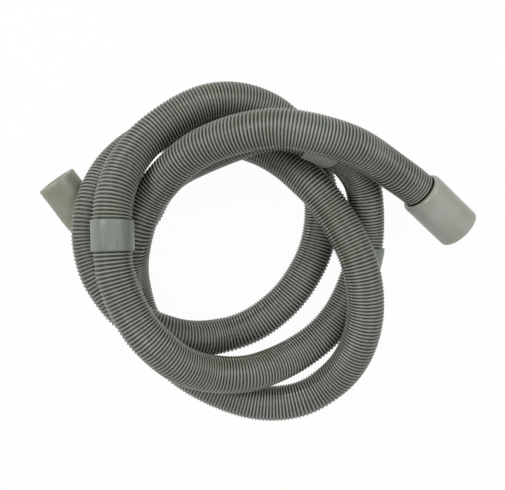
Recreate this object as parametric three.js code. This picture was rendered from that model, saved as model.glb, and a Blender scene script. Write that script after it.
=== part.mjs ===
import * as THREE from 'three';

// Washing machine drain hose of about two metres, laid down in a loose coil of three and a third turns.
// One ribbed plastic tube with three smooth bands moulded into it, and a smooth sleeve on each end.
// Millimetres, +Z up, the floor at z = 0. Distances along the hose run from the mouth of the larger sleeve.

const HOSE_RADIUS = 12.3;
const HOSE_WALL = 2.1;
const BAND_RISE = 1.4;
const BAND_LENGTH = 20.5;
const BAND_EDGE = 0.5;
const BAND_CENTRES = [1392, 1664, 1764.7];
const TUBE_SIDES = 12;
const SLEEVE_SIDES = 32;
const TUBE_STEP = 10.5;
const SLEEVE_STEP = 10;
const FIT_GAP = 0.3;

// Each sleeve: wall around the hose, bore for the spigot, whole length, depth of the bore before the hose's end.
const OUTLET = { wall: 2.6, bore: 11, length: 40, stop: 20 };
const INLET = { wall: 1.4, bore: 9.5, length: 36, stop: 16 };
const SHOULDER = 2;
const SHOULDER_SHARE = 0.7;
const MOUTH_CHAMFER = 0.8;

// Puts the middle of the whole object over the origin and its lowest point on the floor.
const ROUTE_SHIFT = new THREE.Vector3(2.4, 0.58, -0.12);

// The line down the middle of the hose, point by point: x, y and the height above the floor.
const ROUTE = [
  [137.9, 17.3, 21.8], [123.3, 29.8, 26.5], [107.9, 42.7, 32], [93.7, 51.3, 40.5], [78.5, 59, 51.7],
  [63.1, 65.6, 65], [48.1, 70.3, 72.6], [34, 73.5, 76.4], [20.3, 76.2, 77.4], [5.7, 77.2, 75.3],
  [-10.5, 75.4, 71.3], [-27.4, 71.4, 64.3], [-44.4, 64.4, 55.1], [-60.1, 52.6, 45.2], [-73.6, 37.2, 39.2],
  [-81.9, 19.6, 37.8], [-86.8, 2.8, 32.2], [-89.7, -12.8, 19.9], [-88.1, -29, 13.2], [-82, -47, 12.4],
  [-70.6, -64.6, 12.4], [-58.6, -78.8, 12.4], [-43.1, -89.8, 12.4], [-25.4, -98.4, 12.4], [-7.2, -104.2, 12.4],
  [11.6, -105.9, 12.4], [30.8, -102.3, 12.5], [47.2, -92.9, 13.3], [60.1, -78.2, 20.6], [67.7, -59.1, 30.8],
  [70.6, -39, 37], [69.3, -20.7, 40.3], [65.1, -3.9, 42], [57.6, 12.8, 40.7], [47.5, 30, 38.5],
  [36.8, 44.1, 37.3], [28.5, 52.6, 34.3], [20.7, 60.1, 31.2], [6.4, 70.4, 24.5], [-9.6, 77.8, 17.8],
  [-28, 84.7, 13.3], [-49.3, 87.4, 12.5], [-71.3, 83.8, 13.1], [-89.4, 72.4, 19.9], [-103.8, 53.9, 29.7],
  [-111.2, 30.5, 39], [-112.8, 9.3, 40.4], [-108.2, -10.6, 41], [-101.1, -24, 40.6], [-91.6, -36.4, 39.3],
  [-79.7, -45.8, 37.8], [-66, -52.6, 35.4], [-49, -57.9, 27], [-28.4, -58.1, 15.3], [-7.6, -51.9, 12.4],
  [9.1, -41.1, 12.4], [22.7, -27.7, 12.4], [34, -10.3, 12.4], [41, 7.3, 12.4], [43.9, 27.2, 12.4],
  [42.4, 47.1, 12.4], [36.8, 66.1, 12.4], [28.5, 80.4, 12.5], [16.4, 94, 15], [-1.2, 102.5, 22.6],
  [-19, 104.8, 29.6], [-35.8, 102, 34.5], [-51.3, 94.7, 37.8], [-66.1, 84.1, 41], [-79.1, 70.5, 46.6],
  [-87.5, 54.7, 54.8], [-91.5, 39.5, 61.6], [-93, 24.8, 64.4], [-92.8, 10.4, 64.6], [-92, -6.6, 64.5],
  [-86.5, -26.2, 64.1], [-76.1, -45.7, 63.8], [-65.1, -58.7, 61], [-51.6, -70.9, 53.1], [-33.8, -78.9, 41.5],
  [-12.4, -81.2, 34.4], [6.3, -78, 25.6], [25.3, -70.8, 16], [45.2, -56.8, 12.5], [60, -37.6, 12.9],
  [68.8, -16.9, 14], [73.6, -0.3, 14.7], [74.8, 16.5, 17], [73.5, 33.2, 22], [69.4, 50, 27.2],
  [57, 64.3, 36.2], [40.4, 72, 47.6], [22, 78.2, 51], [6.4, 79.2, 49.6], [-8.6, 76.2, 45.4],
  [-26.1, 71, 37], [-46.8, 63.7, 25.4], [-63.4, 55, 16.2], [-74.6, 41.9, 12.7], [-81.2, 29, 12.4],
  [-90.2, 21.2, 12.4], [-101.6, 17.8, 12.5], [-113.3, 19.3, 13.2], [-123.3, 25.6, 14.9], [-132.3, 38.1, 17.9],
  [-141.2, 51, 22.5],
].map(([x, y, z]) => new THREE.Vector3(x, y, z).add(ROUTE_SHIFT));

// Corner points of the uniform cubic spline that passes through every point of the route.
function splineCorners(points) {
  const corners = points.map((point) => point.clone());
  for (let pass = 0; pass < 40; pass += 1) {
    for (let i = 1; i < points.length - 1; i += 1) {
      corners[i].copy(points[i]).multiplyScalar(6).sub(corners[i - 1]).sub(corners[i + 1]).divideScalar(4);
    }
  }
  const last = corners.length - 1;
  const before = corners[0].clone().multiplyScalar(2).sub(corners[1]);
  const after = corners[last].clone().multiplyScalar(2).sub(corners[last - 1]);
  return [before, ...corners, after];
}

// Fine samples of the route: place, distance from the start, and two directions across the hose that
// turn with it as little as they can.
function sampleRoute(points, perSpan) {
  const corners = splineCorners(points);
  const places = [];
  for (let span = 0; span < points.length - 1; span += 1) {
    const steps = span === points.length - 2 ? perSpan : perSpan - 1;
    for (let k = 0; k <= steps; k += 1) {
      const t = k / perSpan;
      const weights = [(1 - t) ** 3, 3 * t ** 3 - 6 * t * t + 4, -3 * t ** 3 + 3 * t * t + 3 * t + 1, t ** 3];
      const place = new THREE.Vector3();
      weights.forEach((weight, j) => place.addScaledVector(corners[span + j], weight / 6));
      places.push(place);
    }
  }
  let across = new THREE.Vector3(0, 0, 1);
  let distance = 0;
  return places.map((place, i) => {
    const from = places[Math.max(i - 1, 0)];
    const to = places[Math.min(i + 1, places.length - 1)];
    const along = to.clone().sub(from).normalize();
    across = across.clone().addScaledVector(along, -across.dot(along)).normalize();
    distance += place.distanceTo(from);
    return { place, distance, across, side: along.clone().cross(across) };
  });
}

const SAMPLES = sampleRoute(ROUTE, 10);
const WHOLE_LENGTH = SAMPLES[SAMPLES.length - 1].distance;

// The route's place and cross directions at a distance along the hose.
function routeAt(distance) {
  const hit = SAMPLES.findIndex((sample) => sample.distance >= distance);
  const high = hit < 1 ? (hit < 0 ? SAMPLES.length - 1 : 1) : hit;
  const a = SAMPLES[high - 1];
  const b = SAMPLES[high];
  const t = (distance - a.distance) / (b.distance - a.distance);
  return {
    place: a.place.clone().lerp(b.place, t),
    across: a.across.clone().lerp(b.across, t).normalize(),
    side: a.side.clone().lerp(b.side, t).normalize(),
  };
}

// One closed body: every corner [distance, radius] of the outline is carried round the route as a ring.
function sweptBody(outline, sides) {
  const positions = [];
  outline.forEach(([distance, radius]) => {
    const { place, across, side } = routeAt(distance);
    for (let k = 0; k < sides; k += 1) {
      const angle = (k / sides) * Math.PI * 2;
      const point = place.clone().addScaledVector(across, radius * Math.cos(angle));
      point.addScaledVector(side, radius * Math.sin(angle));
      positions.push(point.x, point.y, point.z);
    }
  });
  const index = [];
  outline.forEach((corner, i) => {
    const here = i * sides;
    const next = ((i + 1) % outline.length) * sides;
    for (let k = 0; k < sides; k += 1) {
      const turn = (k + 1) % sides;
      index.push(here + k, here + turn, next + turn, here + k, next + turn, next + k);
    }
  });
  const geometry = new THREE.BufferGeometry();
  geometry.setAttribute('position', new THREE.Float32BufferAttribute(positions, 3));
  geometry.setIndex(index);
  geometry.computeVertexNormals();
  return geometry;
}

// Even steps from one distance to another, both ends included.
function steps(from, to, longest) {
  const count = Math.max(1, Math.ceil(Math.abs(to - from) / longest));
  return Array.from({ length: count + 1 }, (_, i) => from + ((to - from) * i) / count);
}

// The hose: outside from end to end with the raised bands, then back along the bore.
function hoseOutline(from, to) {
  const outline = [];
  let start = from;
  BAND_CENTRES.forEach((centre) => {
    const low = centre - BAND_LENGTH / 2;
    const high = centre + BAND_LENGTH / 2;
    steps(start, low - BAND_EDGE, TUBE_STEP).forEach((s) => outline.push([s, HOSE_RADIUS]));
    steps(low, high, TUBE_STEP).forEach((s) => outline.push([s, HOSE_RADIUS + BAND_RISE]));
    start = high + BAND_EDGE;
  });
  steps(start, to, TUBE_STEP).forEach((s) => outline.push([s, HOSE_RADIUS]));
  steps(to, from, TUBE_STEP).forEach((s) => outline.push([s, HOSE_RADIUS - HOSE_WALL]));
  return outline;
}

// A sleeve: outside with its chamfered mouth and rounded shoulder, then the socket and the spigot bore.
// towards is +1 when the hose leads away from the mouth in the direction of growing distance.
function sleeveOutline(sleeve, mouth, towards) {
  const socket = HOSE_RADIUS + FIT_GAP;
  const radius = socket + sleeve.wall;
  const straight = sleeve.length - SHOULDER;
  const outline = [[0, radius - MOUTH_CHAMFER]];
  steps(MOUTH_CHAMFER, straight, SLEEVE_STEP).forEach((s) => outline.push([s, radius]));
  const drop = Math.min(SHOULDER, sleeve.wall * SHOULDER_SHARE);
  [30, 60, 90].forEach((degrees) => {
    const angle = THREE.MathUtils.degToRad(degrees);
    outline.push([straight + SHOULDER * Math.sin(angle), radius - drop * (1 - Math.cos(angle))]);
  });
  steps(sleeve.length, sleeve.stop, SLEEVE_STEP).forEach((s) => outline.push([s, socket]));
  steps(sleeve.stop, MOUTH_CHAMFER, SLEEVE_STEP).forEach((s) => outline.push([s, sleeve.bore]));
  outline.push([0, sleeve.bore + MOUTH_CHAMFER / 2]);
  const placed = outline.map(([s, radius]) => [mouth + towards * s, radius]);
  return towards > 0 ? placed : placed.reverse();
}

const group = new THREE.Group();

function add(name, outline, sides, colour, roughness) {
  const material = new THREE.MeshStandardMaterial({ color: colour, roughness, metalness: 0 });
  const mesh = new THREE.Mesh(sweptBody(outline, sides), material);
  mesh.name = name;
  group.add(mesh);
}

const hoseFrom = OUTLET.stop + FIT_GAP;
const hoseTo = WHOLE_LENGTH - INLET.stop - FIT_GAP;
add('corrugated_hose', hoseOutline(hoseFrom, hoseTo), TUBE_SIDES, 0x8f938a, 0.6);
add('large_end_sleeve', sleeveOutline(OUTLET, 0, 1), SLEEVE_SIDES, 0x979b90, 0.65);
add('small_end_sleeve', sleeveOutline(INLET, WHOLE_LENGTH, -1), SLEEVE_SIDES, 0x8d917f, 0.65);

export default group;
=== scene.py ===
"""Washing machine drain hose: ribbed grey plastic in a loose coil, with a smooth sleeve on each end."""
import math

import bmesh
import bpy
import numpy as np
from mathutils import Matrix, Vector


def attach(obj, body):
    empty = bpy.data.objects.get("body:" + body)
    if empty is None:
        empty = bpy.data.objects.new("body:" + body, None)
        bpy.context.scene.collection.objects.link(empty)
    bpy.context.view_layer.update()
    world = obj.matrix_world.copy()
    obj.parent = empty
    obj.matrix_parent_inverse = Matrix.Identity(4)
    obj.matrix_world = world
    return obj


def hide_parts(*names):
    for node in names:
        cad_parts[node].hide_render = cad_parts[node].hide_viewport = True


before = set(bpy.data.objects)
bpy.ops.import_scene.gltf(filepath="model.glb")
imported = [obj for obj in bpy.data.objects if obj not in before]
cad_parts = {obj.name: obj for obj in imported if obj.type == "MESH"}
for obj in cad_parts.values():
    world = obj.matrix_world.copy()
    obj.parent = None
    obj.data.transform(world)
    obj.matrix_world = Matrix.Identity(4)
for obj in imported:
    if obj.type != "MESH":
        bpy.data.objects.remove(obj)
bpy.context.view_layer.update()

MM = 0.001

# The hose, in millimetres: radii, half a rib's crest, half its foot, and the smooth bands along its length.
CREST_RADIUS = 12.4
ROOT_RADIUS = 11.65
BORE_RADIUS = 10.1
BAND_RADIUS = 13.6
RIB_CREST = 0.33
RIB_FOOT = 0.72
BAND_LENGTH = 20.5
BAND_CENTRES = (1392, 1664, 1764.7)
# The last band, beyond this distance, is painted paler than the others: painted light on a band that lies
# in shade under a higher strand.
PAINTED_LIGHT_BAND_FROM = 1700
# Each ring of a band from its end inwards: inset, radius, rib depth and band share. The rib depth also sets
# how much painted shade a ring takes.
BAND_PROFILE = (
    (0.35, ROOT_RADIUS, 1.0, 0.0),
    (0.5, BAND_RADIUS - 0.55, 0.35, 0.7),
    (0.62, BAND_RADIUS - 0.12, 0.0, 1.0),
    (0.95, BAND_RADIUS, 0.0, 1.0),
    (4.5, BAND_RADIUS, 0.0, 1.0),
    (8.5, BAND_RADIUS, 0.0, 1.0),
)

# The sleeves, in millimetres. The stop is how deep the spigot goes, the shoulder how far it is rounded.
LARGE = {"radius": 15.2, "bore": 11.0, "length": 40.0, "stop": 20.0, "shoulder": 2.8}
SMALL = {"radius": 14.0, "bore": 9.5, "length": 36.0, "stop": 16.0, "shoulder": 2.4}
MOUTH_ROUNDING = 1.1
BORE_ROUNDING = 0.7
SLEEVE_CUTS = 3

# Gaps between hose and sleeve: at the hose's end, around it, and from the sleeve's edge to the first rib.
END_GAP = 0.3
SOCKET_GAP = 0.15
NECK_GAP = 0.4

HOSE_SIDES = 24
SLEEVE_SIDES = 64
BORE_RINGS = 150
PATH_POINTS = 900
# Which of the hose's sides carries a mould line. The other line is opposite.
MOULD_LINE_SIDE = 20
# How much painted shade the bore and the bare necks beside the sleeves take, where 1 is the painted shade
# at the root of a rib.
BORE_SHADE = 0.6
NECK_SHADE = 0.8
# How fast the lengthwise stripes change along a piece, against around it.
STRIPE_DRIFT = 0.004

# The camera looks straight down on the coil, a little to the left of its middle.
CAMERA_PLACE = (-2.6, 6.6, 471.1)
CAMERA_PIXELS = 648
PHOTO_WIDTH = 505

# Light: two soft boxes by name, place and energy, how white the floor shows, and the light all around.
LIGHT_SIZE = 0.6
LIGHTS = (
    ("soft_box_left", (-1.0, 0.4, 1.2), 11),
    ("soft_box_right", (0.85, 0.45, 1.2), 6),
)
FLOOR_WHITE = 0.965
WORLD_LIGHT = 0.6

# Rounds that settle the spline, steps between two points of the route, and the step for counting ribs.
SPLINE_ROUNDS = 40
SPAN_STEPS = 12
PITCH_STEP = 0.25

# The line down the middle of the hose, point by point: x, y and the height above the floor.
ROUTE_SHIFT = np.array((2.4, 0.58, -0.12))
ROUTE = np.array((
    (137.9, 17.3, 21.8), (123.3, 29.8, 26.5), (107.9, 42.7, 32), (93.7, 51.3, 40.5),
    (78.5, 59, 51.7), (63.1, 65.6, 65), (48.1, 70.3, 72.6), (34, 73.5, 76.4),
    (20.3, 76.2, 77.4), (5.7, 77.2, 75.3), (-10.5, 75.4, 71.3), (-27.4, 71.4, 64.3),
    (-44.4, 64.4, 55.1), (-60.1, 52.6, 45.2), (-73.6, 37.2, 39.2), (-81.9, 19.6, 37.8),
    (-86.8, 2.8, 32.2), (-89.7, -12.8, 19.9), (-88.1, -29, 13.2), (-82, -47, 12.4),
    (-70.6, -64.6, 12.4), (-58.6, -78.8, 12.4), (-43.1, -89.8, 12.4), (-25.4, -98.4, 12.4),
    (-7.2, -104.2, 12.4), (11.6, -105.9, 12.4), (30.8, -102.3, 12.5), (47.2, -92.9, 13.3),
    (60.1, -78.2, 20.6), (67.7, -59.1, 30.8), (70.6, -39, 37), (69.3, -20.7, 40.3),
    (65.1, -3.9, 42), (57.6, 12.8, 40.7), (47.5, 30, 38.5), (36.8, 44.1, 37.3),
    (28.5, 52.6, 34.3), (20.7, 60.1, 31.2), (6.4, 70.4, 24.5), (-9.6, 77.8, 17.8),
    (-28, 84.7, 13.3), (-49.3, 87.4, 12.5), (-71.3, 83.8, 13.1), (-89.4, 72.4, 19.9),
    (-103.8, 53.9, 29.7), (-111.2, 30.5, 39), (-112.8, 9.3, 40.4), (-108.2, -10.6, 41),
    (-101.1, -24, 40.6), (-91.6, -36.4, 39.3), (-79.7, -45.8, 37.8), (-66, -52.6, 35.4),
    (-49, -57.9, 27), (-28.4, -58.1, 15.3), (-7.6, -51.9, 12.4), (9.1, -41.1, 12.4),
    (22.7, -27.7, 12.4), (34, -10.3, 12.4), (41, 7.3, 12.4), (43.9, 27.2, 12.4),
    (42.4, 47.1, 12.4), (36.8, 66.1, 12.4), (28.5, 80.4, 12.5), (16.4, 94, 15),
    (-1.2, 102.5, 22.6), (-19, 104.8, 29.6), (-35.8, 102, 34.5), (-51.3, 94.7, 37.8),
    (-66.1, 84.1, 41), (-79.1, 70.5, 46.6), (-87.5, 54.7, 54.8), (-91.5, 39.5, 61.6),
    (-93, 24.8, 64.4), (-92.8, 10.4, 64.6), (-92, -6.6, 64.5), (-86.5, -26.2, 64.1),
    (-76.1, -45.7, 63.8), (-65.1, -58.7, 61), (-51.6, -70.9, 53.1), (-33.8, -78.9, 41.5),
    (-12.4, -81.2, 34.4), (6.3, -78, 25.6), (25.3, -70.8, 16), (45.2, -56.8, 12.5),
    (60, -37.6, 12.9), (68.8, -16.9, 14), (73.6, -0.3, 14.7), (74.8, 16.5, 17),
    (73.5, 33.2, 22), (69.4, 50, 27.2), (57, 64.3, 36.2), (40.4, 72, 47.6),
    (22, 78.2, 51), (6.4, 79.2, 49.6), (-8.6, 76.2, 45.4), (-26.1, 71, 37),
    (-46.8, 63.7, 25.4), (-63.4, 55, 16.2), (-74.6, 41.9, 12.7), (-81.2, 29, 12.4),
    (-90.2, 21.2, 12.4), (-101.6, 17.8, 12.5), (-113.3, 19.3, 13.2), (-123.3, 25.6, 14.9),
    (-132.3, 38.1, 17.9), (-141.2, 51, 22.5),
))

# The spacing of the ribs, by distance along the hose: wider on a slope and in a hollow, closer over a hump,
# so that from above they look as even as in the photo.
RIB_PITCH = (
    (0, 2.6), (48, 2.6), (60, 2.9), (70, 3.3), (78, 3.5), (86, 3), (96, 2.3),
    (120, 2.05), (138, 1.83), (146, 1.83), (155, 2.08), (165, 2.2), (186, 2.18), (195, 2.3),
    (207, 2.58), (228, 2.63), (250, 2.6), (275, 2.4), (320, 2.3), (440, 2.16), (480, 2.24),
    (512, 2.7), (528, 2.65), (548, 2.38), (565, 2.2), (600, 2.22), (625, 2.12), (650, 2.35),
    (668, 2.12), (700, 2.2), (990, 2.3), (1012, 2.6), (1028, 2.6), (1046, 2.25), (1120, 2.2),
    (1230, 2.1), (1275, 2.08), (1290, 2.2), (1318, 2.62), (1334, 2.65), (1350, 2.42), (1378, 2.06),
    (1404, 2.5), (1420, 2.42), (1446, 2.18), (1468, 1.98), (1490, 2.1), (1508, 2.4), (1524, 2.25),
    (1542, 1.98), (1572, 2.36), (1590, 2.38), (1620, 2.18), (1700, 2.2), (1718, 2.35), (2000, 2.25),
)


def linear(red, green, blue):
    """A colour written as it shows on a screen, 0 to 255, in the linear values that nodes take."""
    def part(value):
        value /= 255
        return value / 12.92 if value <= 0.04045 else ((value + 0.055) / 1.055) ** 2.4

    return part(red), part(green), part(blue)


CREST_DARK = linear(113, 118, 102)
CREST_LIGHT = linear(132, 137, 126)
CREST_RUBBED = linear(150, 154, 143)
# Painted shade: the roots between the ribs, the bore and the necks beside the sleeves darken towards this.
GROOVE_SHADE = linear(30, 34, 26)
BAND_DARK = linear(103, 108, 101)
BAND_LIGHT = linear(122, 127, 119)
BAND_PAINTED_LIGHT = linear(160, 165, 155)
MOULD_LINE = linear(190, 193, 182)
DUST = linear(176, 176, 164)
# Painted shade inside the sleeves' bores.
SLEEVE_INSIDE_SHADE = linear(58, 60, 50)


# The route
def spline_corners(points):
    """Corner points of the uniform cubic spline that passes through every point of the route."""
    corners = points.copy()
    for _ in range(SPLINE_ROUNDS):
        for i in range(1, len(points) - 1):
            corners[i] = (6 * points[i] - corners[i - 1] - corners[i + 1]) / 4
    before = 2 * corners[0] - corners[1]
    after = 2 * corners[-1] - corners[-2]
    return np.vstack((before, corners, after))


def sample_route(points):
    """Places along the route, their distances and two cross directions that turn as little as they can."""
    corners = spline_corners(points)
    places = []
    for span in range(len(points) - 1):
        for k in range(SPAN_STEPS):
            t = k / SPAN_STEPS
            weights = ((1 - t) ** 3, 3 * t**3 - 6 * t * t + 4, -3 * t**3 + 3 * t * t + 3 * t + 1, t**3)
            places.append(sum(w / 6 * corners[span + j] for j, w in enumerate(weights)))
    places.append(points[-1])
    places = np.array(places)
    distance = np.concatenate(([0], np.cumsum(np.linalg.norm(np.diff(places, axis=0), axis=1))))
    along = np.gradient(places, axis=0)
    along /= np.linalg.norm(along, axis=1)[:, None]
    across = np.empty_like(places)
    turn = np.array((0.0, 0.0, 1.0))
    for i, direction in enumerate(along):
        turn = turn - direction * turn.dot(direction)
        turn /= np.linalg.norm(turn)
        across[i] = turn
    return places, distance, across, np.cross(along, across)


PLACES, DISTANCE, ACROSS, SIDE = sample_route(ROUTE + ROUTE_SHIFT)
WHOLE_LENGTH = DISTANCE[-1]


def route_at(distances):
    """Place and cross directions at each distance along the hose."""
    def read(rows):
        return np.stack([np.interp(distances, DISTANCE, rows[:, k]) for k in range(3)], axis=1)

    across = read(ACROSS)
    side = read(SIDE)
    across /= np.linalg.norm(across, axis=1)[:, None]
    side /= np.linalg.norm(side, axis=1)[:, None]
    return read(PLACES), across, side


# Camera and lights
def add_camera():
    camera = bpy.data.objects.new("camera", bpy.data.cameras.new("camera"))
    bpy.context.scene.collection.objects.link(camera)
    camera.location = Vector(CAMERA_PLACE) * MM
    camera.data.lens = camera.data.sensor_width * CAMERA_PIXELS / PHOTO_WIDTH
    camera.data.clip_start = 0.01
    camera.data.clip_end = 20
    bpy.context.scene.camera = camera


def add_area_light(name, place, energy):
    """A round soft box that looks at the middle of the coil."""
    light = bpy.data.objects.new(name, bpy.data.lights.new(name, "AREA"))
    bpy.context.scene.collection.objects.link(light)
    light.location = place
    light.rotation_euler = (-Vector(place)).to_track_quat("-Z", "Y").to_euler()
    light.data.shape = "DISK"
    light.data.size = LIGHT_SIZE
    light.data.energy = energy


# Node helpers
def group_sockets(group, inputs, outputs):
    for name, kind, value in inputs:
        socket = group.interface.new_socket(name, in_out="INPUT", socket_type=kind)
        if value is not None:
            socket.default_value = value
    for name, kind in outputs:
        group.interface.new_socket(name, in_out="OUTPUT", socket_type=kind)
    return group.nodes.new("NodeGroupInput"), group.nodes.new("NodeGroupOutput")


def set_or_link(tree, socket, value):
    """Gives a socket a number, a colour or another node's output."""
    if isinstance(value, (int, float)):
        socket.default_value = value
    elif isinstance(value, tuple):
        socket.default_value = (*value, 1)
    else:
        tree.links.new(value, socket)


def math_node(tree, operation, first, second):
    node = tree.nodes.new("ShaderNodeMath")
    node.operation = operation
    set_or_link(tree, node.inputs[0], first)
    set_or_link(tree, node.inputs[1], second)
    return node.outputs[0]


def ramp_between(tree, value, low, high, out_low=0.0, out_high=1.0):
    node = tree.nodes.new("ShaderNodeMapRange")
    node.interpolation_type = "SMOOTHSTEP"
    tree.links.new(value, node.inputs["Value"])
    node.inputs["From Min"].default_value = low
    node.inputs["From Max"].default_value = high
    node.inputs["To Min"].default_value = out_low
    node.inputs["To Max"].default_value = out_high
    return node.outputs[0]


def mix_colour(tree, factor, first, second):
    node = tree.nodes.new("ShaderNodeMix")
    node.data_type = "RGBA"
    set_or_link(tree, node.inputs["Factor"], factor)
    set_or_link(tree, node.inputs["A"], first)
    set_or_link(tree, node.inputs["B"], second)
    return node.outputs["Result"]


def noise(tree, vector, scale, detail, roughness=0.5):
    node = tree.nodes.new("ShaderNodeTexNoise")
    tree.links.new(vector, node.inputs["Vector"])
    node.inputs["Scale"].default_value = scale
    node.inputs["Detail"].default_value = detail
    node.inputs["Roughness"].default_value = roughness
    return node.outputs["Fac"]


def mesh_value(tree, name, output="Fac"):
    """What the mesh's attribute of that name gives at each place."""
    node = tree.nodes.new("ShaderNodeAttribute")
    node.attribute_name = name
    return node.outputs[output]


def lengthwise_streaks(tree):
    """Faint stripes that run along a piece, as drawn or pushed plastic has them."""
    return ramp_between(tree, noise(tree, mesh_value(tree, "lengthwise", "Vector"), 3.5, 3, 0.6), 0.3, 0.7)


# Materials
def make_plastic_skin():
    """Group: cloudy colour drift, fine grain height and specks of dust on moulded plastic."""
    group = bpy.data.node_groups.new("moulded_plastic_skin", "ShaderNodeTree")
    source, result = group_sockets(
        group,
        [("Vector", "NodeSocketVector", None), ("Cloud Scale", "NodeSocketFloat", 45.0),
         ("Grain Scale", "NodeSocketFloat", 2600.0)],
        [("Tone", "NodeSocketFloat"), ("Grain", "NodeSocketFloat"), ("Dust", "NodeSocketFloat")],
    )
    cloud = group.nodes.new("ShaderNodeTexNoise")
    grain = group.nodes.new("ShaderNodeTexNoise")
    dust = group.nodes.new("ShaderNodeTexNoise")
    for node in (cloud, grain, dust):
        group.links.new(source.outputs["Vector"], node.inputs["Vector"])
    group.links.new(source.outputs["Cloud Scale"], cloud.inputs["Scale"])
    group.links.new(source.outputs["Grain Scale"], grain.inputs["Scale"])
    cloud.inputs["Detail"].default_value = 4
    grain.inputs["Detail"].default_value = 2
    dust.inputs["Scale"].default_value = 420
    dust.inputs["Detail"].default_value = 5
    group.links.new(cloud.outputs["Fac"], result.inputs["Tone"])
    group.links.new(grain.outputs["Fac"], result.inputs["Grain"])
    group.links.new(ramp_between(group, dust.outputs["Fac"], 0.55, 0.75), result.inputs["Dust"])
    return group


PLASTIC_SKIN = make_plastic_skin()


def start_material(name, cloud_scale):
    material = bpy.data.materials.new(name)
    material.use_nodes = True
    tree = material.node_tree
    place = tree.nodes.new("ShaderNodeTexCoord").outputs["Object"]
    skin = tree.nodes.new("ShaderNodeGroup")
    skin.node_tree = PLASTIC_SKIN
    skin.inputs["Cloud Scale"].default_value = cloud_scale
    tree.links.new(place, skin.inputs["Vector"])
    return material, tree, place, skin


def finish_plastic(tree, skin, colour, roughness, specular, grain):
    """Shader of a plastic: its colour, a drift between two roughnesses and a fine grain."""
    shader = tree.nodes["Principled BSDF"]
    tree.links.new(colour, shader.inputs["Base Color"])
    drift = ramp_between(tree, skin.outputs["Tone"], 0.2, 0.8, *roughness)
    tree.links.new(drift, shader.inputs["Roughness"])
    shader.inputs["Specular IOR Level"].default_value = specular
    bump = tree.nodes.new("ShaderNodeBump")
    bump.inputs["Strength"].default_value = grain
    bump.inputs["Distance"].default_value = 0.1 * MM
    tree.links.new(skin.outputs["Grain"], bump.inputs["Height"])
    tree.links.new(bump.outputs["Normal"], shader.inputs["Normal"])


def make_hose_plastic():
    """Grey ribbed plastic: painted shade in the roots between the ribs, worn lighter crests and two fine
    mould lines.
    """
    material, tree, place, skin = start_material("ribbed_grey_plastic", 30)
    depth = mesh_value(tree, "rib_depth_shade")
    crest = mix_colour(tree, ramp_between(tree, skin.outputs["Tone"], 0.3, 0.7), CREST_DARK, CREST_LIGHT)
    rubbed = math_node(tree, "MULTIPLY", lengthwise_streaks(tree), 0.35)
    crest = mix_colour(tree, rubbed, crest, CREST_RUBBED)
    # Painted shade towards the roots of the ribs, in the bore and at the necks by the sleeves.
    colour = mix_colour(tree, ramp_between(tree, depth, 0.1, 0.9), crest, GROOVE_SHADE)

    band = mix_colour(tree, lengthwise_streaks(tree), BAND_DARK, BAND_LIGHT)
    # Painted light on the last band, which lies in shade under a higher strand.
    pale = math_node(tree, "MULTIPLY", mesh_value(tree, "painted_light_band"), 0.5)
    band = mix_colour(tree, pale, band, BAND_PAINTED_LIGHT)
    colour = mix_colour(tree, mesh_value(tree, "smooth_band"), colour, band)

    seam = ramp_between(tree, mesh_value(tree, "mould_line"), 0.62, 0.95)
    on_crests = ramp_between(tree, depth, 0.0, 0.7, 1.0, 0.0)
    broken = ramp_between(tree, noise(tree, place, 160, 2), 0.38, 0.62, 0.1, 0.8)
    line = math_node(tree, "MULTIPLY", math_node(tree, "MULTIPLY", seam, on_crests), broken)
    colour = mix_colour(tree, line, colour, MOULD_LINE)
    dust = math_node(tree, "MULTIPLY", skin.outputs["Dust"], 0.18)
    colour = mix_colour(tree, dust, colour, DUST)
    finish_plastic(tree, skin, colour, roughness=(0.34, 0.46), specular=0.45, grain=0.25)
    return material


def make_sleeve_plastic(name, dark, light, worn, roughness, specular):
    """Soft smooth plastic of an end sleeve: cloudy, faintly drawn along its length, rubbed at the rims,
    with painted shade inside.
    """
    material, tree, place, skin = start_material(name, 55)
    colour = mix_colour(tree, ramp_between(tree, skin.outputs["Tone"], 0.3, 0.7), dark, light)
    streak = math_node(tree, "MULTIPLY", lengthwise_streaks(tree), 0.14)
    patches = ramp_between(tree, noise(tree, place, 300, 4), 0.35, 0.7, 0.3, 0.9)
    wear = math_node(tree, "MULTIPLY", mesh_value(tree, "rim_wear"), patches)
    speck = math_node(tree, "MULTIPLY", skin.outputs["Dust"], 0.25)
    for share in (streak, wear, speck):
        colour = mix_colour(tree, share, colour, worn)
    # Painted shade inside the sleeve's bore.
    painted_inside_shade = math_node(tree, "MULTIPLY", mesh_value(tree, "inside"), 0.7)
    colour = mix_colour(tree, painted_inside_shade, colour, SLEEVE_INSIDE_SHADE)
    finish_plastic(tree, skin, colour, roughness, specular, grain=0.2)
    return material


# Mesh attributes
def add_values(mesh, name, values):
    attribute = mesh.attributes.new(name, "FLOAT", "POINT")
    attribute.data.foreach_set("value", np.asarray(values, dtype=np.float32))


def add_lengthwise(mesh, across, side, distance):
    """Attribute that turns with a piece's girth and hardly changes along its length."""
    values = np.stack((across, side, distance * STRIPE_DRIFT), axis=1).astype(np.float32)
    attribute = mesh.attributes.new("lengthwise", "FLOAT_VECTOR", "POINT")
    attribute.data.foreach_set("vector", values.reshape(-1))


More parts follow.
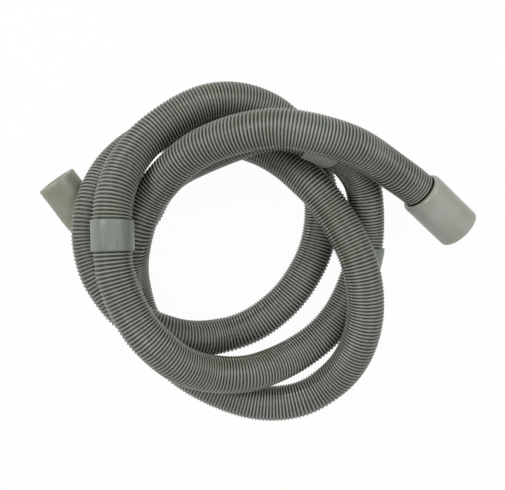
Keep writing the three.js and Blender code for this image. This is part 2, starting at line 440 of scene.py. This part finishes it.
# The ribbed hose
def rib_outline(start, stop):
    """Distance, radius, rib depth, band share and the middle of its crest, for each ring of the hose. The
    rib depth also sets the painted shade of the ring.
    """
    marks, pitch = zip(*RIB_PITCH)
    fine = np.arange(0, WHOLE_LENGTH, PITCH_STEP)
    counted = np.concatenate(([0], np.cumsum(PITCH_STEP / np.interp(fine, marks, pitch))[:-1]))
    bands = [(centre - BAND_LENGTH / 2, centre + BAND_LENGTH / 2) for centre in BAND_CENTRES]
    stretches = []
    low = start
    for band_low, band_high in bands:
        stretches.append((low, band_low))
        low = band_high
    stretches.append((low, stop))
    first_rib = LARGE["length"] + NECK_GAP
    last_rib = WHOLE_LENGTH - SMALL["length"] - NECK_GAP
    outline = []
    for number, (low, high) in enumerate(stretches):
        first, last = np.interp((low, high), fine, counted)
        ribs = round(last - first)
        edges = np.interp(np.linspace(first, last, ribs + 1), counted, fine)
        outline.append((low, ROOT_RADIUS, 1.0, 0.0, low))
        for a, b in zip(edges, edges[1:]):
            middle = (a + b) / 2
            for offset, depth in ((-RIB_FOOT, 1.0), (-RIB_CREST, 0.0), (RIB_CREST, 0.0), (RIB_FOOT, 1.0)):
                ring_at = middle + offset
                radius = CREST_RADIUS - (CREST_RADIUS - ROOT_RADIUS) * depth
                holder = middle if depth == 0 else ring_at
                # Beside a sleeve the ring is a bare neck at root radius, with painted shade in the crease
                # at the sleeve's edge.
                if not first_rib < ring_at < last_rib:
                    radius, depth, holder = ROOT_RADIUS, NECK_SHADE, ring_at
                outline.append((ring_at, radius, depth, 0.0, holder))
        if number < len(bands):
            outline += band_outline(*bands[number])
    return outline


def band_outline(low, high):
    """One smooth band: a groove at each end, a small step up, a rounded rim and a plain cylinder."""
    rings = []
    for inset, radius, depth, band in BAND_PROFILE:
        rings.append((low + inset, radius, depth, band, low + inset))
    for inset, radius, depth, band in reversed(BAND_PROFILE):
        rings.append((high - inset, radius, depth, band, high - inset))
    return rings


def add_hose(material):
    """The hose as one closed skin, outside and bore, with the line down its middle and its length."""
    start = LARGE["stop"] + END_GAP
    stop = WHOLE_LENGTH - SMALL["stop"] - END_GAP
    outer = np.array(rib_outline(start, stop))
    inner_at = np.linspace(stop, start, BORE_RINGS)
    ring_at = np.concatenate((outer[:, 0], inner_at))
    middle = np.concatenate((outer[:, 4], inner_at))
    radius = np.concatenate((outer[:, 1], np.full(BORE_RINGS, BORE_RADIUS)))
    # The bore takes painted shade.
    depth = np.concatenate((outer[:, 2], np.full(BORE_RINGS, BORE_SHADE)))
    band = np.concatenate((outer[:, 3], np.zeros(BORE_RINGS)))
    place, across, side = route_at(middle)
    place += np.cross(across, side) * (ring_at - middle)[:, None]
    angle = np.arange(HOSE_SIDES) / HOSE_SIDES * math.tau
    rim = across[:, None] * np.cos(angle)[None, :, None] + side[:, None] * np.sin(angle)[None, :, None]
    points = (place[:, None] + rim * radius[:, None, None]) * MM
    rings = len(ring_at)
    index = np.arange(rings * HOSE_SIDES).reshape(rings, HOSE_SIDES)
    onward = np.roll(index, -1, axis=0)
    faces = np.stack((index, np.roll(index, -1, axis=1), np.roll(onward, -1, axis=1), onward), axis=2)
    mesh = bpy.data.meshes.new("ribbed_drain_hose")
    mesh.from_pydata(points.reshape(-1, 3).tolist(), [], faces.reshape(-1, 4).tolist())
    mesh.polygons.foreach_set("use_smooth", np.ones(len(mesh.polygons), dtype=bool))

    mould = np.zeros((rings, HOSE_SIDES))
    mould[:, MOULD_LINE_SIDE] = 1
    mould[:, (MOULD_LINE_SIDE + HOSE_SIDES // 2) % HOSE_SIDES] = 1
    add_values(mesh, "mould_line", mould.reshape(-1))
    add_values(mesh, "rib_depth_shade", np.repeat(depth, HOSE_SIDES))
    add_values(mesh, "smooth_band", np.repeat(band, HOSE_SIDES))
    add_values(mesh, "painted_light_band", np.repeat(ring_at > PAINTED_LIGHT_BAND_FROM, HOSE_SIDES))
    cosines = np.tile(np.cos(angle), rings)
    sines = np.tile(np.sin(angle), rings)
    add_lengthwise(mesh, cosines, sines, np.repeat(ring_at, HOSE_SIDES))
    mesh.update()

    hose = bpy.data.objects.new("ribbed_drain_hose", mesh)
    bpy.context.scene.collection.objects.link(hose)
    mesh.materials.append(material)
    path_at = np.linspace(start, stop, PATH_POINTS)
    path = [tuple(point) for point in (route_at(path_at)[0] * MM).tolist()]
    return hose, path, (stop - start) * MM


# The end sleeves
def clear_selection():
    bpy.ops.object.select_all(action="DESELECT")


def edit_faces(sleeve, keep):
    """Selects the faces for which keep(centre, normal) is true, in edit mode."""
    mesh = bmesh.from_edit_mesh(sleeve.data)
    for face in mesh.faces:
        face.select_set(False)
    for edge in mesh.edges:
        edge.select_set(False)
    for face in mesh.faces:
        if keep(face.calc_center_median(), face.normal):
            face.select_set(True)
    bmesh.update_edit_mesh(sleeve.data)


def edit_edges(sleeve, keep):
    """Selects the edges for which keep(height, radius) is true at both ends, in edit mode."""
    mesh = bmesh.from_edit_mesh(sleeve.data)
    for face in mesh.faces:
        face.select_set(False)
    for edge in mesh.edges:
        ends = [keep(vert.co.z / MM, math.hypot(vert.co.x, vert.co.y) / MM) for vert in edge.verts]
        edge.select_set(all(ends))
    bmesh.update_edit_mesh(sleeve.data)


def round_rim(sleeve, level, rim, width, segments):
    """Rounds the circular edge that has this height and this radius."""
    edit_edges(sleeve, lambda height, radius: abs(height - level) < 0.01 and abs(radius - rim) < 0.05)
    bpy.ops.mesh.bevel(offset=width * MM, segments=segments, affect="EDGES")


def model_sleeve(name, size, material, towards):
    """A sleeve turned up straight along Z from its mouth at 0, then laid on the route."""
    length = size["length"]
    shoulder = size["shoulder"]
    clear_selection()
    bpy.ops.mesh.primitive_cylinder_add(
        vertices=SLEEVE_SIDES,
        radius=size["radius"] * MM,
        depth=length * MM,
        location=(0, 0, length / 2 * MM),
    )
    sleeve = bpy.context.object
    sleeve.name = sleeve.data.name = name
    bpy.ops.object.transform_apply(location=True, rotation=True, scale=True)
    bpy.ops.object.mode_set(mode="EDIT")
    bpy.ops.mesh.select_mode(type="FACE")
    flat = math.cos(math.pi / SLEEVE_SIDES)
    spigot_socket = (0, size["bore"], size["stop"])
    hose_socket = (length, CREST_RADIUS + SOCKET_GAP, size["stop"] - length)
    for level, hole, depth in (spigot_socket, hose_socket):
        edit_faces(sleeve, lambda centre, normal: abs(centre.z - level * MM) < 1e-6 and abs(normal.z) > 0.9)
        bpy.ops.mesh.inset(thickness=(size["radius"] - hole) * MM * flat)
        bpy.ops.mesh.extrude_region_move(TRANSFORM_OT_translate={"value": (0, 0, depth * MM)})
        bpy.ops.mesh.delete(type="FACE")
    bpy.ops.mesh.select_mode(type="EDGE")
    edit_edges(sleeve, lambda height, radius: abs(height - size["stop"]) < 0.01)
    bpy.ops.mesh.bridge_edge_loops()
    round_rim(sleeve, length, size["radius"], shoulder, 5)
    round_rim(sleeve, 0, size["radius"], MOUTH_ROUNDING, 4)
    round_rim(sleeve, 0, size["bore"], BORE_ROUNDING, 3)
    for cut in np.arange(4, length - shoulder - 1, SLEEVE_CUTS):
        bpy.ops.mesh.select_all(action="SELECT")
        bpy.ops.mesh.bisect(plane_co=(0, 0, cut * MM), plane_no=(0, 0, 1))
    bpy.ops.mesh.select_all(action="SELECT")
    bpy.ops.mesh.normals_make_consistent(inside=False)
    bpy.ops.object.mode_set(mode="OBJECT")
    bpy.ops.object.shade_smooth_by_angle(angle=math.radians(50))
    mark_rims(sleeve, length)
    lay_on_route(sleeve, towards)
    sleeve.data.materials.clear()
    sleeve.data.materials.append(material)
    return sleeve


def mark_rims(sleeve, length):
    """Attributes: wear, full at the mouth's edge and faint at the shoulder's, and where the inside takes
    painted shade.
    """
    wear = []
    inside = []
    for vert in sleeve.data.vertices:
        height = vert.co.z / MM
        radius = math.hypot(vert.co.x, vert.co.y) / MM
        wear.append(max(0.0, 1.0 - height / 2.2, 0.35 - (length - height) / 6))
        inside.append(1.0 if height > 1.2 and radius < CREST_RADIUS + 0.4 else 0.0)
    add_values(sleeve.data, "rim_wear", wear)
    add_values(sleeve.data, "inside", inside)


def lay_on_route(sleeve, towards):
    """Carries a straight sleeve onto the route: its height becomes the distance from the hose's end."""
    vertices = sleeve.data.vertices
    flat = np.empty(len(vertices) * 3)
    vertices.foreach_get("co", flat)
    x, y, height = flat.reshape(-1, 3).T / MM
    girth = np.maximum(np.hypot(x, y), 1)
    add_lengthwise(sleeve.data, x / girth, y / girth, height)
    mouth = 0 if towards > 0 else WHOLE_LENGTH
    place, across, side = route_at(mouth + towards * height)
    if towards < 0:
        across, side = side, across
    laid = (place + across * x[:, None] + side * y[:, None]) * MM
    vertices.foreach_set("co", laid.reshape(-1))
    sleeve.data.update()


# The surroundings
def seen_white(tree):
    """1 for the rays that show the surroundings, to the camera or in a reflection."""
    path = tree.nodes.new("ShaderNodeLightPath")
    seen = math_node(tree, "MAXIMUM", path.outputs["Is Camera Ray"], path.outputs["Is Glossy Ray"])
    return math_node(tree, "MAXIMUM", seen, path.outputs["Is Transmission Ray"])


def make_floor():
    """A wide pale floor that shows as white and still keeps a soft part of the hose's shadow."""
    clear_selection()
    bpy.ops.mesh.primitive_plane_add(size=8, location=(0, 0, -0.4 * MM))
    floor = bpy.context.object
    floor.name = "floor"
    material = bpy.data.materials.new("pale_floor")
    material.use_nodes = True
    tree = material.node_tree
    shader = tree.nodes["Principled BSDF"]
    shader.inputs["Base Color"].default_value = (0.8, 0.8, 0.8, 1)
    shader.inputs["Roughness"].default_value = 0.9
    glow = tree.nodes.new("ShaderNodeEmission")
    glow.inputs["Color"].default_value = (1, 1, 1, 1)
    glow.inputs["Strength"].default_value = 1.0
    mix = tree.nodes.new("ShaderNodeMixShader")
    tree.links.new(math_node(tree, "MULTIPLY", seen_white(tree), FLOOR_WHITE), mix.inputs[0])
    tree.links.new(shader.outputs[0], mix.inputs[1])
    tree.links.new(glow.outputs[0], mix.inputs[2])
    tree.links.new(mix.outputs[0], tree.nodes["Material Output"].inputs["Surface"])
    floor.data.materials.append(material)


def make_world():
    """Even studio light that shows as white behind the object and in what it reflects."""
    world = bpy.data.worlds.new("studio")
    bpy.context.scene.world = world
    world.use_nodes = True
    tree = world.node_tree
    background = tree.nodes["Background"]
    background.inputs["Color"].default_value = (1, 1, 1, 1)
    strength = ramp_between(tree, seen_white(tree), 0, 1, WORLD_LIGHT, 1)
    tree.links.new(strength, background.inputs["Strength"])


add_camera()
make_world()
make_floor()
for light_name, light_place, light_energy in LIGHTS:
    add_area_light(light_name, light_place, light_energy)
bpy.context.scene.view_settings.view_transform = "Standard"

hose, hose_path, hose_length = add_hose(make_hose_plastic())
large_plastic = make_sleeve_plastic(
    "large_sleeve_plastic",
    dark=linear(133, 137, 122),
    light=linear(149, 153, 145),
    worn=linear(172, 175, 166),
    roughness=(0.27, 0.37),
    specular=0.55,
)
small_plastic = make_sleeve_plastic(
    "small_sleeve_plastic",
    dark=linear(115, 119, 99),
    light=linear(130, 133, 118),
    worn=linear(158, 160, 146),
    roughness=(0.34, 0.44),
    specular=0.5,
)
large_sleeve = model_sleeve("large_end_sleeve_soft", LARGE, large_plastic, towards=1)
small_sleeve = model_sleeve("small_end_sleeve_soft", SMALL, small_plastic, towards=-1)

for piece, node, slot in (
    (hose, "corrugated_hose", "hose_plastic"),
    (large_sleeve, "large_end_sleeve", "large_sleeve"),
    (small_sleeve, "small_end_sleeve", "small_sleeve"),
):
    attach(piece, "root")
    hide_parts(node)
